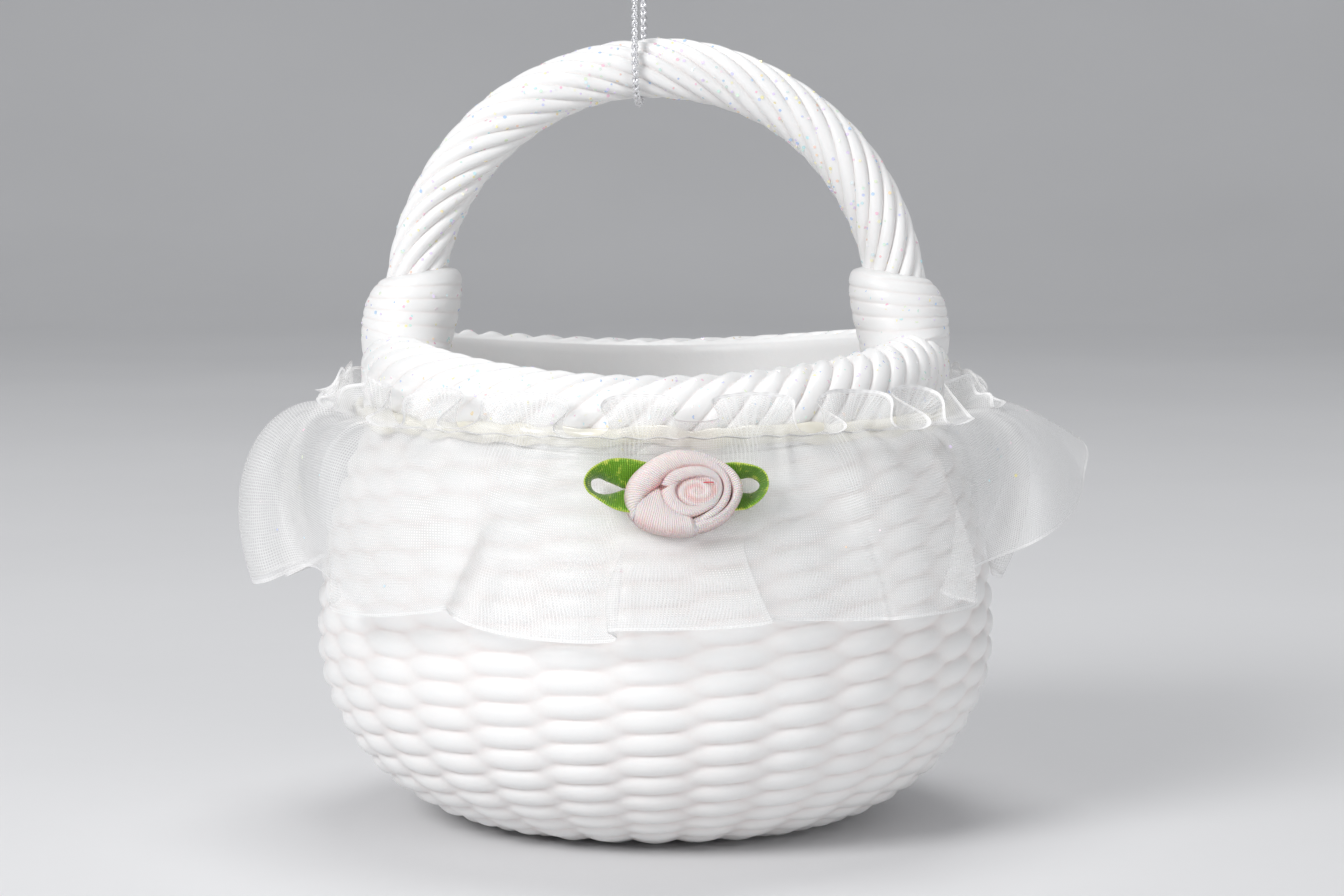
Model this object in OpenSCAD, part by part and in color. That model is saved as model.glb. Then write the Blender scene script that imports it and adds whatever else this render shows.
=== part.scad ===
// Flower girl basket, a small hanging favour: a white moulded wicker-look bowl with
// a rope rim, a rope arch handle held in two wound bindings, a gathered organza frill
// round the neck, a satin ribbon rose with two leaf loops, and a metallic cord loop.
// Millimetres. Z is up, the rose faces -Y and the handle spans X.
// The origin is the centre of the flat foot, at the height of the surface it stands on.

/* [Bowl] */
// Radius of the flat foot
foot_r = 17; // [15:0.5:20]
// Outer radius of the bowl at its widest
belly_r = 42.4; // [41:0.2:44]
// Height of the widest place
belly_z = 23.8; // [21:0.2:26]
// Outer radius of the neck, which the rim stands on
neck_r = 36.8; // [36:0.2:38]
// Thickness of the bowl's wall
wall = 1.6; // [1.2:0.1:2]
// Thickness of the bowl's floor
floor_t = 2.2; // [1.6:0.1:3]

/* [Rim] */
// Height of the rim's crest at the handle
rim_top_z = 61.2; // [60:0.2:63]
// How far the rim dips between the handle and the front
rim_dip = 4.3; // [3:0.1:5.5]
// Width of the rim from its inner wall to its outer face
rim_w = 7.4; // [7:0.1:8]
// Height of the rim's section
rim_h = 8; // [7.6:0.1:8.4]

/* [Handle] */
// Height of the handle's centreline at the top of the arch
arch_z = 94.5; // [93:0.5:96]
// Radius of the arch's centreline
arch_r = 30.4; // [30:0.1:31]
// Radius of the handle's tube
handle_r = 3.7; // [3.2:0.1:3.7]
// Inward lean of the legs, in degrees
leg_lean = 10; // [9:0.5:11]
// Radius of the spigot that ends each leg
spigot_r = 2; // [1.6:0.1:2]

/* [Bindings] */
// Radius of a binding at its foot
binding_foot_r = 5.7; // [5.4:0.1:5.9]
// Radius of a binding at its top
binding_top_r = 4.6; // [4.4:0.1:5]
// Number of turns wound round each leg
binding_turns = 6; // [5:1:7]

/* [Frill] */
// Height of the gathered seam
seam_z = 51.6; // [51.4:0.1:51.8]
// Thickness allowed for the gathered ribbon
frill_t = 0.8; // [0.6:0.1:1]
// How far the skirt stands out from the seam at the sides
flare_side = 15.8; // [13:0.2:18]
// How far the skirt's hem drops below the seam at the sides
drop_side = 12; // [9:0.5:15]
// How far the skirt stands out from the seam at the front and back
flare_front = 9.8; // [9:0.2:12]
// How far the skirt's hem drops below the seam at the front and back
drop_front = 20.7; // [18:0.5:24]

/* [Rose] */
// Width of the rose
rose_w = 13.6; // [12:0.2:15]
// Height of the rose
rose_h = 9.8; // [9:0.2:12]
// Depth of the rose from its back to its coil
rose_d = 5.8; // [5:0.1:6]
// Width of the narrow ribbon of the leaves
leaf_w = 3; // [2.6:0.1:3.2]
// Reach of the left leaf loop from the middle of the rose
leaf_left = 11.5; // [11:0.1:13]
// Reach of the right leaf loop from the middle of the rose
leaf_right = 9.7; // [8.8:0.1:11]

/* [Hanger] */
// Diameter of the metallic cord
cord_d = 1; // [0.8:0.05:1.1]
// Radius of the knot that closes the loop
knot_r = 1.7; // [1.5:0.1:2]
// Length of each cut end above the knot
tail_len = 4.5; // [3:0.5:6]

/* [Hidden] */
$fn = 48;
cut = 1; // how far a cutting tool runs past a face

// Rim: the crest follows a saddle, which is a cylinder that lies along X.
saddle_r = (neck_r * neck_r + rim_dip * rim_dip) / (2 * rim_dip);
rim_in_r = neck_r - rim_w;
rim_seat_z = rim_top_z - rim_h;
neck_z = rim_seat_z - rim_dip;
rim_rings = 72;
crown_steps = 8;
crown_share = 0.55; // part of the width that the round crown takes
foot_step_w = 0.4; // the rim's outer foot is chamfered by this much
foot_step_h = 0.8;
lip_w = 0.9; // the inner top edge slopes by this much
lip_h = 0.8;
lip_top = 0.2; // height lost between the crest and the slope's start

// Handle: one arc, with a straight spigot tangent to it at each end.
arch_centre_z = arch_z - arch_r;
leg_len = 12.6;
leg_x = arch_r * cos(leg_lean) + leg_len * sin(leg_lean);
leg_z = arch_centre_z + arch_r * sin(leg_lean) - leg_len * cos(leg_lean);
spigot_root = 2;

// Bindings: measured along the leg from the spigot's foot to the end of the arc.
binding_foot_s = 1;
turn_depth = 0.35;
turn_h = (leg_len - binding_foot_s) / binding_turns;
turn_parts = [0, 0.25, 0.5, 0.75];
rim_cut_reach = 15; // degrees of the rim, each way, that are cut from a binding

// Frill: a plain band is held at the seam, between the header and the skirt.
seam_band = 2.4;
glue_t = 0.8;
seam_r = neck_r + glue_t + frill_t / 2;
header_h = 5.2;
header_lean_side = 3.6;
header_lean_front = 1.8;
header_bend = [0.2, 3.12]; // the header rises straight to here and then leans out
side_bend = [11.06, 4]; // the skirt arches over this point at the sides
front_bend = [1.96, -9]; // and falls almost straight past this one in front
frill_rings = 60;
header_steps = 3;
skirt_steps = 6;
thread_r = 0.25;
thread_gap = 0.02;

// Rose: it sits in front of the seam, a little to the right, and leans back with the skirt.
rose_turn = 4.6;
rose_z = 45.8;
rose_back_y = 40.3;
rose_tilt = 20;
pad_t = 0.5;
pad_r = 2.6;
pad_soak = 0.4;
coil_x = 1;
rose_tiers = [ // shares of the rose's width, height, depth and coil offset
    [1, 1, 0.62, 0],
    [0.74, 0.76, 0.82, 0.6],
    [0.42, 0.46, 1, 1]];
band_t = 0.4;
stitch_r = 0.15;
leaf_t = 0.4;
leaf_rise = 5.8;
leaf_fullness = 1.3; // the widest place of a teardrop is its rise divided by this
leaf_clear = 0.2; // gap between a leaf and the rose

// Hanger: route of the cord's centreline, from the knot down in front of the handle,
// under it and up behind it.
cord_route = [
    [-2.5, -0.6, 108.6], [-2.5, -1.2, 106.6], [-2.5, -1.9, 104.2], [-2.5, -2.6, 101.8],
    [-2.5, -3.3, 99.4], [-2.5, -4, 97.1], [-2.5, -4.4, 95.2], [-2.45, -4.4, 93.6],
    [-2.4, -3.8, 92.2], [-2.3, -2.8, 91.05], [-2.15, -1.5, 90.3], [-2, 0, 90.05],
    [-1.85, 1.5, 90.3], [-1.7, 2.8, 91.05], [-1.6, 3.8, 92.2], [-1.55, 4.4, 93.6],
    [-1.5, 4.4, 95.2], [-1.5, 4, 97.1], [-1.5, 3.3, 99.4], [-1.5, 2.6, 101.8],
    [-1.5, 1.9, 104.2], [-1.5, 1.2, 106.6], [-1.5, 0.6, 108.6]];
cord_sides = 8;
knot_x = -2;
knot_z = 109.8;
tail_splay = 28;

// Triangles between two rings of equal count. The solid faces outwards where the points of
// a ring run anticlockwise seen from the side that the rings travel towards.
function band_faces(first, second, n) = [
    for (i = [0 : n - 1])
        let (j = (i + 1) % n)
            each [[first + i, second + i, second + j], [first + i, second + j, first + j]]];

// A skin over rings that close on themselves, like a hoop.
module hoop(rings) {
    n = len(rings[0]);
    count = len(rings);
    polyhedron(
        points = [for (ring = rings) each ring],
        faces = [for (k = [0 : count - 1]) each band_faces(k * n, ((k + 1) % count) * n, n)]);
}

// A skin over convex rings with both ends capped.
module capped(rings) {
    n = len(rings[0]);
    count = len(rings);
    last = (count - 1) * n;
    polyhedron(
        points = [for (ring = rings) each ring],
        faces = concat(
            [for (k = [0 : count - 2]) each band_faces(k * n, (k + 1) * n, n)],
            [for (i = [1 : n - 2]) [0, i, i + 1]],
            [for (i = [1 : n - 2]) [last, last + i + 1, last + i]]));
}

function bezier(a, b, c, t) = (1 - t) * (1 - t) * a + 2 * t * (1 - t) * b + t * t * c;
function unit(v) = v / norm(v);
function ellipse(w, h, steps = 40) = [
    for (i = [0 : steps - 1]) [w / 2 * cos(360 * i / steps), h / 2 * sin(360 * i / steps)]];

// ---- Bowl ----

// Outer radius above the belly, which narrows smoothly to the neck.
function shoulder_radius(z) =
    belly_r - (belly_r - neck_r) * pow(min(1, (z - belly_z) / (neck_z - belly_z)), 2);

// One side of the wall, from the foot to the top: inset is 0 outside and the wall inside.
function bowl_side(inset, rise) = concat(
    [for (a = [0 : 7.5 : 90])
        [foot_r + (belly_r - inset - foot_r) * sin(a), belly_z - (belly_z - rise) * cos(a)]],
    [for (k = [1 : 8])
        let (z = belly_z + (neck_z - belly_z) * k / 8)
            [shoulder_radius(z) - inset, z]],
    [[neck_r - inset, rim_top_z]]);

module saddle(top_z) {
    translate([0, 0, top_z - saddle_r])
        rotate([0, 90, 0])
            cylinder(r = saddle_r, h = 4 * belly_r, center = true, $fn = 96);
}

module bowl() {
    outer = bowl_side(0, 0);
    inner = bowl_side(wall, floor_t);
    color("white")
        intersection() {
            rotate_extrude($fn = 96)
                polygon(concat(
                    [[0, 0]], outer,
                    [for (i = [len(inner) - 1 : -1 : 0]) inner[i]],
                    [[0, floor_t]]));
            saddle(rim_seat_z);
        }
}

// ---- Rim ----

function saddle_drop(y) = sqrt(saddle_r * saddle_r - y * y) - saddle_r;

// Section of the rope rim: flat inner wall, flat seat and a round crown, as [radius, height].
rim_section = concat(
    [[rim_in_r, 0], [neck_r - foot_step_w, 0], [neck_r, foot_step_h]],
    [for (k = [0 : crown_steps])
        let (a = 90 * k / crown_steps)
            [neck_r - rim_w * crown_share * (1 - cos(a)), rim_h / 2 * (1 + sin(a))]],
    [[rim_in_r + lip_w, rim_h - lip_top], [rim_in_r, rim_h - lip_top - lip_h]]);

function rim_ring(a) = [
    for (p = rim_section)
        [p.x * cos(a), p.x * sin(a), rim_seat_z + p.y + saddle_drop(p.x * sin(a))]];

module along_leg(side) {
    translate([side * leg_x, 0, leg_z])
        rotate([0, -side * leg_lean, 0])
            children();
}

module rim_rope() {
    color("ivory")
        difference() {
            hoop([for (k = [0 : rim_rings - 1]) rim_ring(-360 * k / rim_rings)]);
            for (side = [-1, 1])
                along_leg(side) cylinder(r = spigot_r, h = rim_h);
        }
}

// ---- Handle ----

module handle() {
    color("ivory") {
        translate([0, 0, arch_centre_z])
            rotate([90, 0, 0])
                rotate([0, 0, leg_lean])
                    rotate_extrude(angle = 180 - 2 * leg_lean, $fn = 96)
                        translate([arch_r, 0]) circle(r = handle_r);
        for (side = [-1, 1])
            along_leg(side) cylinder(r = spigot_r, h = leg_len + spigot_root);
    }
}

// ---- Bindings ----

// Outline of the wound turns, each one a shallow bulge, as [radius, height along the leg].
binding_outline = [
    for (k = [0 : binding_turns - 1], part = turn_parts)
        let (share = (k + part) / binding_turns,
             crest_r = binding_foot_r + (binding_top_r - binding_foot_r) * share)
            [crest_r - turn_depth * pow(cos(180 * part), 2),
             binding_foot_s + (k + part) * turn_h]];

module binding(side) {
    middle = side > 0 ? 0 : 180;
    color("white")
        difference() {
            along_leg(side)
                rotate_extrude()
                    polygon(concat(
                        [[spigot_r, binding_foot_s]], binding_outline,
                        [[binding_top_r - turn_depth, leg_len], [spigot_r, leg_len]]));
            capped([
                for (a = [rim_cut_reach : -360 / rim_rings : -rim_cut_reach])
                    rim_ring(middle + a)]);
        }
}

module binding_left() {
    binding(-1);
}

module binding_right() {
    binding(1);
}

// ---- Frill ----

module glue_bead() {
    color("wheat")
        translate([0, 0, seam_z - seam_band / 2])
            difference() {
                cylinder(r = neck_r + glue_t, h = seam_band, $fn = 96);
                translate([0, 0, -cut]) cylinder(r = neck_r, h = seam_band + 2 * cut, $fn = 96);
            }
}

// Middle line of the ribbon from the header's edge to the hem, as [reach, height] from the
// seam. The header is given by its lean, and the skirt by its bend, flare and drop.
function ribbon_line(lean, bend, flare, drop) = concat(
    [for (k = [header_steps : -1 : 1])
        bezier([0, seam_band / 2], header_bend, [lean, header_h], k / header_steps)],
    [[0, seam_band / 2], [0, -seam_band / 2]],
    [for (k = [1 : skirt_steps])
        bezier([0, -seam_band / 2], bend, [flare, -drop], k / skirt_steps)]);

side_line = ribbon_line(header_lean_side, side_bend, flare_side, drop_side);
front_line = ribbon_line(header_lean_front, front_bend, flare_front, drop_front);

function line_normal(line, i) =
    let (before = line[max(0, i - 1)], after = line[min(len(line) - 1, i + 1)],
         along = unit(after - before))
        [-along.y, along.x];

// One closed section of the frill, turned to the angle a round the basket.
function frill_ring(a) =
    let (blend = cos(a) * cos(a),
         line = side_line * blend + front_line * (1 - blend),
         last = len(line) - 1,
         inside = [for (i = [0 : last]) line[i] - line_normal(line, i) * frill_t / 2],
         outside = [for (i = [last : -1 : 0]) line[i] + line_normal(line, i) * frill_t / 2])
        [for (p = concat(inside, outside))
            let (r = (seam_r + p.x) / cos(180 / frill_rings))
                [r * cos(a), r * sin(a), seam_z + p.y]];

module frill() {
    color("gainsboro")
        hoop([for (k = [0 : frill_rings - 1]) frill_ring(-360 * k / frill_rings)]);
}

module gather_thread() {
    thread_ring_r = (seam_r + frill_t / 2) / cos(180 / frill_rings) + thread_r + thread_gap;
    color("snow")
        translate([0, 0, seam_z + thread_r])
            rotate_extrude($fn = 96)
                translate([thread_ring_r, 0]) circle(r = thread_r, $fn = 24);
}

// ---- Rose ----

// Places its children with +X to the right along the basket, +Y up and +Z out from the skirt.
module on_rose() {
    rotate([0, 0, rose_turn])
        translate([0, -rose_back_y, rose_z])
            rotate([90 - rose_tilt, 0, 0])
                children();
}

module rose_pad() {
    color("wheat")
        on_rose()
            translate([0, 0, -pad_soak]) cylinder(r = pad_r, h = pad_t + pad_soak);
}

// A teardrop with its point at the origin and its round end at the reach.
function teardrop(reach, rise, steps = 32) = [
    for (i = [0 : steps - 1])
        let (a = 360 * i / steps)
            [reach * (1 - cos(a)) / 2, rise / 2 * sin(a) * (1 - cos(a)) / leaf_fullness]];

// The hole inside a loop starts a little way out, where the two layers part.
module leaf_loop(reach, side) {
    parting = 2.5 * leaf_t;
    mirror([side > 0 ? 0 : 1, 0, 0])
        linear_extrude(leaf_w)
            difference() {
                polygon(teardrop(reach, leaf_rise));
                translate([parting, 0])
                    polygon(teardrop(reach - parting - leaf_t, leaf_rise - parting));
            }
}

// The ribbon runs flat behind the rose, and stands out on its edge beyond it.
module leaf_ribbon() {
    color("yellowgreen")
        on_rose()
            translate([0, 0, pad_t])
                difference() {
                    union() {
                        leaf_loop(leaf_left, -1);
                        leaf_loop(leaf_right, 1);
                        translate([-leaf_w, -leaf_w / 2, 0]) cube([2 * leaf_w, leaf_w, band_t]);
                    }
                    translate([0, 0, band_t])
                        linear_extrude(leaf_w)
                            polygon(ellipse(rose_w + 2 * leaf_clear, rose_h + 2 * leaf_clear));
                }
}

// The rolled ribbon as three steps: folded petals outside, then a fold, then the coil.
module rose_ribbon() {
    color("pink")
        on_rose()
            translate([0, 0, pad_t + band_t])
                difference() {
                    for (tier = rose_tiers)
                        translate([coil_x * tier[3], 0, 0])
                            linear_extrude(rose_d * tier[2])
                                polygon(ellipse(rose_w * tier[0], rose_h * tier[1]));
                    translate([coil_x, 0, -cut]) cylinder(r = stitch_r, h = rose_d + 2 * cut);
                }
}

module rose_stitch() {
    color("crimson")
        on_rose()
            translate([coil_x, 0, pad_t + band_t])
                cylinder(r = stitch_r, h = rose_d);
}

// ---- Hanger ----

function cord_ring(i) =
    let (last = len(cord_route) - 1,
         along = unit(cord_route[min(last, i + 1)] - cord_route[max(0, i - 1)]),
         across = unit([1, 0, 0] - along * along.x),
         over = cross(along, across))
        [for (k = [0 : cord_sides - 1])
            let (a = 360 * k / cord_sides)
                cord_route[i] + cord_d / 2 * (across * cos(a) + over * sin(a))];

module hanger_cord() {
    color("silver")
        capped([for (i = [0 : len(cord_route) - 1]) cord_ring(i)]);
}

module hanger_knot() {
    color("silver")
        translate([knot_x, 0, knot_z]) {
            sphere(r = knot_r);
            for (side = [-1, 1])
                rotate([0, side * tail_splay, 0])
                    cylinder(d = cord_d, h = knot_r + tail_len);
        }
}

bowl();
rim_rope();
handle();
binding_left();
binding_right();
glue_bead();
frill();
gather_thread();
rose_pad();
leaf_ribbon();
rose_ribbon();
rose_stitch();
hanger_cord();
hanger_knot();
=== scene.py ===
import math

import bmesh
import bpy
import numpy as np
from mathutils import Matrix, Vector


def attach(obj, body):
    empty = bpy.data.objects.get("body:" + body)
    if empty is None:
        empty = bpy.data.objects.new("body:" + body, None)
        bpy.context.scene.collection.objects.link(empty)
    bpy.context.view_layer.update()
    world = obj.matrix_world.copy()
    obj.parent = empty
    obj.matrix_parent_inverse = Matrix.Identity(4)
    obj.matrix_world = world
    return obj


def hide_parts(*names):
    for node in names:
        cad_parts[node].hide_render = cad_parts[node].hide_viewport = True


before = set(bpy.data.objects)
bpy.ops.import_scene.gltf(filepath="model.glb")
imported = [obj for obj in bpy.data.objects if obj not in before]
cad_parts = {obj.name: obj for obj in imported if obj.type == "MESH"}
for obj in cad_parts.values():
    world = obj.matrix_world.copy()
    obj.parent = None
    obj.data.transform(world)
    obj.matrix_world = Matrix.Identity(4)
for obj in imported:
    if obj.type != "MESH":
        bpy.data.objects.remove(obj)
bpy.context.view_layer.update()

# Shapes below are worked out in millimetres and turned into metres when a mesh is made.
MM = 0.001
TAU = 2 * math.pi
BODY, HANGER = "basket", "hanger"
random = np.random.default_rng(20)  # fray and glitter

# ---- Sizes shared with the CAD model ----
FOOT_R, BELLY_R, BELLY_Z, NECK_R, NECK_Z = 17.0, 42.4, 23.8, 36.8, 48.9
WALL, FLOOR_T = 1.6, 2.2
RIM_DIP, RIM_W, RIM_H, SEAT_Z = 4.3, 7.4, 8.0, 53.2
CROWN = 0.55 * RIM_W
RIM_IN = NECK_R - RIM_W
SADDLE_R = (NECK_R ** 2 + RIM_DIP ** 2) / (2 * RIM_DIP)
ARCH_R, ARCH_Z, LEG_LEAN, LEG_LEN = 30.4, 64.1, math.radians(10), 12.6
LEG_X = ARCH_R * math.cos(LEG_LEAN) + LEG_LEN * math.sin(LEG_LEAN)
LEG_Z = ARCH_Z + ARCH_R * math.sin(LEG_LEAN) - LEG_LEN * math.cos(LEG_LEAN)
SEAM_Z, SEAM_R = 51.6, 38.0
ROSE_TURN, ROSE_BACK, ROSE_Z, ROSE_TILT = math.radians(4.6), 40.3, 44.7, math.radians(70)
CORD_ROUTE = [
    [-2.5, -0.6, 108.6], [-2.5, -1.2, 106.6], [-2.5, -1.9, 104.2], [-2.5, -2.6, 101.8],
    [-2.5, -3.3, 99.4], [-2.5, -4, 97.1], [-2.5, -4.4, 95.2], [-2.45, -4.4, 93.6],
    [-2.4, -3.8, 92.2], [-2.3, -2.8, 91.05], [-2.15, -1.5, 90.3], [-2, 0, 90.05],
    [-1.85, 1.5, 90.3], [-1.7, 2.8, 91.05], [-1.6, 3.8, 92.2], [-1.55, 4.4, 93.6],
    [-1.5, 4.4, 95.2], [-1.5, 4, 97.1], [-1.5, 3.3, 99.4], [-1.5, 2.6, 101.8],
    [-1.5, 1.9, 104.2], [-1.5, 1.2, 106.6], [-1.5, 0.6, 108.6]]
KNOT = np.array([-2.0, 0.0, 109.8])


# ---- Curves ----
def unit(v):
    return v / np.maximum(np.linalg.norm(v, axis=-1, keepdims=True), 1e-12)


def resample(line, step=None, count=None):
    """Points at even steps along a line."""
    run = np.r_[0, np.cumsum(np.linalg.norm(np.diff(line, axis=0), axis=1))]
    n = count or max(2, int(round(run[-1] / step)) + 1)
    at = np.linspace(0, run[-1], n)
    return np.column_stack([np.interp(at, run, line[:, k]) for k in range(line.shape[1])])


def spline(points, step=None, count=None):
    """A smooth curve through the points."""
    p = np.asarray(points, float)
    p = np.vstack([2 * p[0] - p[1], p, 2 * p[-1] - p[-2]])
    t = np.linspace(0, 1, 24, endpoint=False)[:, None]
    parts = []
    for a, b, c, d in zip(p[:-3], p[1:-2], p[2:-1], p[3:]):
        parts.append(0.5 * (2 * b + (c - a) * t + (2 * a - 5 * b + 4 * c - d) * t ** 2
                            + (3 * b - a - 3 * c + d) * t ** 3))
    return resample(np.vstack(parts + [p[-2:-1]]), step, count)


def bezier(points):
    """A Bezier curve of any degree."""
    p = np.asarray(points, float)
    t = np.linspace(0, 1, 60)[:, None]
    n = len(p) - 1
    return sum(math.comb(n, k) * t ** k * (1 - t) ** (n - k) * p[k] for k in range(n + 1))


def carried_frame(line, start=(1, 0, 0)):
    """The tangent and two normals along a line, without twist."""
    tangent = unit(np.gradient(line, axis=0))
    normal = np.zeros_like(tangent)
    ref = np.asarray(start, float)
    for i, t in enumerate(tangent):
        ref = ref - t * ref.dot(t)
        ref /= np.linalg.norm(ref)
        normal[i] = ref
    return tangent, normal, np.cross(tangent, normal)


def smoothstep(x, low, high):
    t = np.clip((x - low) / (high - low), 0, 1)
    return t * t * (3 - 2 * t)


def periodic_noise(theta, waves, count, seed):
    """Smooth noise from -1 to 1 that closes on itself round the basket."""
    rng = np.random.default_rng(seed)
    total = np.zeros_like(theta)
    for _ in range(count):
        total += np.sin(rng.integers(*waves) * theta + rng.uniform(0, TAU))
    return total / math.sqrt(count) / 1.4


# ---- Meshes ----
class Skin:
    """Collects grids of points into one mesh."""

    def __init__(self):
        self.points, self.faces, self.uvs, self.marks, self.count = [], [], [], [], 0

    def add(self, points, uv=None, mark=None):
        points = np.asarray(points, float).reshape(-1, 3)
        n = len(points)
        self.points.append(points)
        self.uvs.append(np.zeros((n, 2)) if uv is None else np.asarray(uv, float).reshape(-1, 2))
        self.marks.append(np.zeros(n) if mark is None else np.broadcast_to(mark, n).ravel()
                          if np.ndim(mark) < 2 else np.asarray(mark, float).reshape(-1))
        first = self.count
        self.count += n
        return first

    def grid(self, points, uv=None, mark=None, wrap_rows=False, wrap_cols=False, caps=False,
             poles=(None, None)):
        rows, cols = points.shape[:2]
        index = np.arange(rows * cols).reshape(rows, cols) + self.add(points, uv, mark)
        if wrap_rows:
            index = np.vstack([index, index[:1]])
        if wrap_cols:
            index = np.column_stack([index, index[:, :1]])
        quads = np.stack([index[:-1, :-1], index[:-1, 1:], index[1:, 1:], index[1:, :-1]], -1)
        self.faces += quads.reshape(-1, 4).tolist()
        if caps:
            self.faces.append(index[0, :cols][::-1].tolist())
            self.faces.append(index[-1, :cols].tolist())
        for row, pole in ((index[0], poles[0]), (index[-1], poles[1])):
            if pole is not None:
                tip = self.add([pole])
                self.faces += [[int(a), int(b), tip] for a, b in zip(row[:-1], row[1:])]

    def tube(self, line, radius, sides=8, start=(1, 0, 0)):
        _, n, b = carried_frame(line, start)
        a = np.arange(sides) * TAU / sides
        r = np.broadcast_to(radius, len(line))[:, None, None]
        ring = n[:, None] * np.cos(a)[:, None] + b[:, None] * np.sin(a)[:, None]
        run = np.r_[0, np.cumsum(np.linalg.norm(np.diff(line, axis=0), axis=1))]
        uv = np.stack(np.broadcast_arrays(run[:, None], a[None] * np.mean(radius)), -1) * MM
        self.grid(line[:, None] + r * ring, uv, wrap_cols=True, caps=True)

    def piece(self, name, material, replaces=(), body=BODY, closed=True, smooth=True):
        mesh = bpy.data.meshes.new(name)
        mesh.from_pydata((np.vstack(self.points) * MM).tolist(), [], self.faces)
        if closed:
            work = bmesh.new()
            work.from_mesh(mesh)
            bmesh.ops.recalc_face_normals(work, faces=work.faces)
            work.to_mesh(mesh)
            work.free()
        corners = np.zeros(len(mesh.loops), int)
        mesh.loops.foreach_get("vertex_index", corners)
        layer = mesh.uv_layers.new(name="flat")
        layer.data.foreach_set("uv", np.vstack(self.uvs)[corners].ravel())
        mark = mesh.attributes.new("mark", "FLOAT", "POINT")
        mark.data.foreach_set("value", np.concatenate(self.marks))
        mesh.polygons.foreach_set("use_smooth", [smooth] * len(mesh.polygons))
        mesh.materials.append(material)
        mesh.update()
        obj = bpy.data.objects.new(name, mesh)
        bpy.context.scene.collection.objects.link(obj)
        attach(obj, body)
        if replaces:
            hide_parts(*replaces)
        return obj


# ---- Materials ----
class Nodes:
    """A short way to write a node material."""

    def __init__(self, name, **sockets):
        self.material = bpy.data.materials.new(name)
        self.material.use_nodes = True
        self.tree = self.material.node_tree
        self.shader = self.tree.nodes["Principled BSDF"]
        for key, value in sockets.items():
            self.shader.inputs[key.replace("_", " ")].default_value = value

    def new(self, kind, inputs=None, **settings):
        node = self.tree.nodes.new("ShaderNode" + kind)
        for key, value in settings.items():
            setattr(node, key, value)
        for key, value in (inputs or {}).items():
            if isinstance(value, bpy.types.NodeSocket):
                self.tree.links.new(value, node.inputs[key])
            else:
                node.inputs[key].default_value = value
        return node

    def link(self, socket, name):
        self.tree.links.new(socket, self.shader.inputs[name])

    def math(self, kind, a, b=0.0, clamp=False):
        return self.new("Math", {0: a, 1: b}, operation=kind, use_clamp=clamp).outputs[0]

    def ramp(self, value, stops):
        """stops is a list of (position, colour)."""
        node = self.new("ValToRGB", {0: value})
        elements = node.color_ramp.elements
        while len(elements) < len(stops):
            elements.new(0.5)
        for element, (at, colour) in zip(elements, stops):
            element.position = at
            element.color = (*colour, 1)
        return node.outputs[0]

    def map(self, value, low, high, to_low, to_high):
        node = self.new("MapRange", {0: value, 1: low, 2: high, 3: to_low, 4: to_high})
        return node.outputs[0]

    def place(self):
        return self.new("TexCoord").outputs["Object"]

    def noise(self, scale, detail=3.0, roughness=0.5):
        node = self.new("TexNoise", {"Vector": self.place(), "Scale": scale,
                                     "Detail": detail, "Roughness": roughness})
        return node.outputs["Fac"]

    def mark(self):
        """The value that each mesh carries: painted shade in its grooves and folds, painted glints
        towards the leaf edges, the organza's firm edge, or each flake's tint.
        """
        return self.new("Attribute", attribute_name="mark").outputs["Fac"]

    def uv(self):
        parts = self.new("SeparateXYZ", {0: self.new("UVMap", uv_map="flat").outputs[0]}).outputs
        return parts[0], parts[1]

    def threads(self, value, pitch, sharp=1.0):
        """A rounded ridge from 0 to 1 at every pitch metres."""
        wave = self.math("SINE", self.math("MULTIPLY", value, math.pi / pitch))
        return self.math("POWER", self.math("ABSOLUTE", wave), sharp)

    def bump(self, height, distance, strength=1.0):
        node = self.new("Bump", {"Height": height, "Distance": distance, "Strength": strength})
        return node.outputs[0]


def moulded_plastic(name, grain):
    """White moulded plastic with painted shade, warmer and darker, in its grooves, a random cloudy
    tone and a fine uneven skin.
    """
    n = Nodes(name, IOR=1.47, Subsurface_Weight=0.12, Subsurface_Scale=0.0015)
    n.shader.inputs["Subsurface Radius"].default_value = (1.0, 0.85, 0.8)
    groove = n.mark()
    cloud = n.noise(90.0, 4.0)
    # Painted shade: the groove value darkens and warms the colour; the cloud noise adds random tone.
    groove_shade_and_tone = n.math("ADD", groove, n.map(cloud, 0.3, 0.7, -0.12, 0.12), clamp=True)
    n.link(n.ramp(groove_shade_and_tone, [(0.0, (0.93, 0.925, 0.92)), (0.4, (0.915, 0.895, 0.885)),
                         (1.0, (0.85, 0.795, 0.78))]), "Base Color")
    skin = n.noise(grain, 5.0, 0.6)
    n.link(n.map(n.math("ADD", skin, n.math("MULTIPLY", groove, 0.3)), 0.3, 0.9, 0.3, 0.55),
           "Roughness")
    n.link(n.bump(skin, 0.00006, 0.6), "Normal")
    return n.material


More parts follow.
